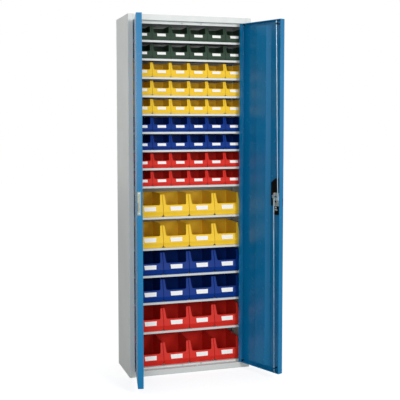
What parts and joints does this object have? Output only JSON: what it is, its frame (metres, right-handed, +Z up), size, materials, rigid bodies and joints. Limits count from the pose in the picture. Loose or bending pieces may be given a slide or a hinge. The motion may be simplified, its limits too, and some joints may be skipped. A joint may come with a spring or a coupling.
{
  "type": "parts bin cabinet",
  "caption": "Tall sheet steel cabinet with double doors, shelves of open-fronted plastic bins that slide out, and a lever lock that drives rods into the roof and the base.",
  "frame": {"origin": "centre of the carcass footprint, on the floor", "axes": "+Z up; the front faces -Y; +X is to the right seen from the front"},
  "size_m": [0.8277, 0.6024, 1.98],
  "materials": {
    "grey_paint": "fine-textured light grey powder coat",
    "blue_paint": "fine-textured blue powder coat",
    "red_bin": "moulded polypropylene",
    "blue_bin": "moulded polypropylene",
    "yellow_bin": "moulded polypropylene",
    "green_bin": "moulded polypropylene",
    "black_plastic": "moulded glass-filled nylon",
    "zinc": "bright zinc plate",
    "galvanised_steel": "galvanised sheet",
    "rubber": "moulded light grey rubber",
    "label_card": "white card behind a clear film"
  },
  "bodies": {
    "carcass": {"left_side": "grey_paint", "right_side": "grey_paint", "back_panel": "grey_paint", "roof": "grey_paint", "base": "grey_paint", "shelf_rails": "galvanised_steel", "shelf_clips": "galvanised_steel", "hinge_pins": "zinc", "door_buffers": "rubber", "shelf_01": "grey_paint", "shelf_02": "grey_paint", "shelf_03": "grey_paint", "shelf_04": "grey_paint", "shelf_05": "grey_paint", "shelf_06": "grey_paint", "shelf_07": "grey_paint", "shelf_08": "grey_paint", "shelf_09": "grey_paint", "shelf_10": "grey_paint", "shelf_11": "grey_paint", "shelf_12": "grey_paint", "shelf_13": "grey_paint", "shelf_14": "grey_paint", "end_bins_red": "red_bin", "end_bins_blue": "blue_bin", "end_bins_yellow": "yellow_bin", "end_bins_green": "green_bin"},
    "left_door": {"left_door_panel": "blue_paint", "left_door_stiffener": "blue_paint", "left_door_bushes": "black_plastic", "strike_plate": "zinc"},
    "right_door": {"right_door_panel": "blue_paint", "right_door_stiffener": "blue_paint", "right_door_bushes": "black_plastic", "lock_case": "black_plastic", "lock_plate": "zinc", "rod_guides": "black_plastic", "handle_plate": "black_plastic"},
    "handle": {"handle_lever": "black_plastic", "lock_cam": "zinc"},
    "lock_cylinder": {"lock_cylinder": "zinc"},
    "upper_rod": {"upper_rod": "zinc"},
    "lower_rod": {"lower_rod": "zinc"},
    "bins_01_red": {"bins_01_red": "red_bin"},
    "bins_02_red": {"bins_02_red": "red_bin"},
    "bins_03_blue": {"bins_03_blue": "blue_bin"},
    "bins_04_blue": {"bins_04_blue": "blue_bin"},
    "bins_05_yellow": {"bins_05_yellow": "yellow_bin"},
    "bins_06_yellow": {"bins_06_yellow": "yellow_bin"},
    "bins_07_red": {"bins_07_red": "red_bin"},
    "bins_08_red": {"bins_08_red": "red_bin"},
    "bins_09_blue": {"bins_09_blue": "blue_bin"},
    "bins_10_blue": {"bins_10_blue": "blue_bin"},
    "bins_11_yellow": {"bins_11_yellow": "yellow_bin"},
    "bins_12_yellow": {"bins_12_yellow": "yellow_bin"},
    "bins_13_yellow": {"bins_13_yellow": "yellow_bin"},
    "bins_14_green": {"bins_14_green": "green_bin"},
    "bins_15_green": {"bins_15_green": "green_bin"}
  },
  "joints": [
    {"name": "left_door_hinge", "type": "hinge", "parent": "carcass", "child": "left_door", "pos_m": [-0.311, -0.144, 0], "axis": [0, 0, -1], "range_deg": [-101, 14]},
    {"name": "right_door_hinge", "type": "hinge", "parent": "carcass", "child": "right_door", "pos_m": [0.311, -0.144, 0], "axis": [0, 0, 1], "range_deg": [-112.5, 2.5]},
    {"name": "handle_turn", "type": "hinge", "parent": "right_door", "child": "handle", "pos_m": [0.42044, -0.39254, 0.986], "axis": [-0.9239, -0.3827, 0], "range_deg": [0, 90]},
    {"name": "upper_rod_slide", "type": "slide", "parent": "right_door", "child": "upper_rod", "axis": [-0.0077, 0.0185, 0.9998], "range_m": [0, 0.03132]},
    {"name": "lower_rod_slide", "type": "slide", "parent": "right_door", "child": "lower_rod", "axis": [0.0046, -0.0111, -0.9999], "range_m": [0, 0.03131]},
    {"name": "lock_cylinder_turn", "type": "hinge", "parent": "right_door", "child": "lock_cylinder", "pos_m": [0.42044, -0.39254, 0.93], "axis": [-0.9239, -0.3827, 0], "range_deg": [0, 90]},
    {"name": "bins_01_red_slide", "type": "slide", "parent": "carcass", "child": "bins_01_red", "axis": [0, -1, 0], "range_m": [0, 0.234]},
    {"name": "bins_02_red_slide", "type": "slide", "parent": "carcass", "child": "bins_02_red", "axis": [0, -1, 0], "range_m": [0, 0.234]},
    {"name": "bins_03_blue_slide", "type": "slide", "parent": "carcass", "child": "bins_03_blue", "axis": [0, -1, 0], "range_m": [0, 0.234]},
    {"name": "bins_04_blue_slide", "type": "slide", "parent": "carcass", "child": "bins_04_blue", "axis": [0, -1, 0], "range_m": [0, 0.234]},
    {"name": "bins_05_yellow_slide", "type": "slide", "parent": "carcass", "child": "bins_05_yellow", "axis": [0, -1, 0], "range_m": [0, 0.234]},
    {"name": "bins_06_yellow_slide", "type": "slide", "parent": "carcass", "child": "bins_06_yellow", "axis": [0, -1, 0], "range_m": [0, 0.234]},
    {"name": "bins_07_red_slide", "type": "slide", "parent": "carcass", "child": "bins_07_red", "axis": [0, -1, 0], "range_m": [0, 0.165]},
    {"name": "bins_08_red_slide", "type": "slide", "parent": "carcass", "child": "bins_08_red", "axis": [0, -1, 0], "range_m": [0, 0.165]},
    {"name": "bins_09_blue_slide", "type": "slide", "parent": "carcass", "child": "bins_09_blue", "axis": [0, -1, 0], "range_m": [0, 0.165]},
    {"name": "bins_10_blue_slide", "type": "slide", "parent": "carcass", "child": "bins_10_blue", "axis": [0, -1, 0], "range_m": [0, 0.165]},
    {"name": "bins_11_yellow_slide", "type": "slide", "parent": "carcass", "child": "bins_11_yellow", "axis": [0, -1, 0], "range_m": [0, 0.165]},
    {"name": "bins_12_yellow_slide", "type": "slide", "parent": "carcass", "child": "bins_12_yellow", "axis": [0, -1, 0], "range_m": [0, 0.165]},
    {"name": "bins_13_yellow_slide", "type": "slide", "parent": "carcass", "child": "bins_13_yellow", "axis": [0, -1, 0], "range_m": [0, 0.165]},
    {"name": "bins_14_green_slide", "type": "slide", "parent": "carcass", "child": "bins_14_green", "axis": [0, -1, 0], "range_m": [0, 0.165]},
    {"name": "bins_15_green_slide", "type": "slide", "parent": "carcass", "child": "bins_15_green", "axis": [0, -1, 0], "range_m": [0, 0.165]}
  ],
  "couplings": [
    {"joint": "upper_rod_slide", "follows": "handle_turn", "m_per_rad": 0.019811},
    {"joint": "lower_rod_slide", "follows": "handle_turn", "m_per_rad": 0.019808}
  ]
}
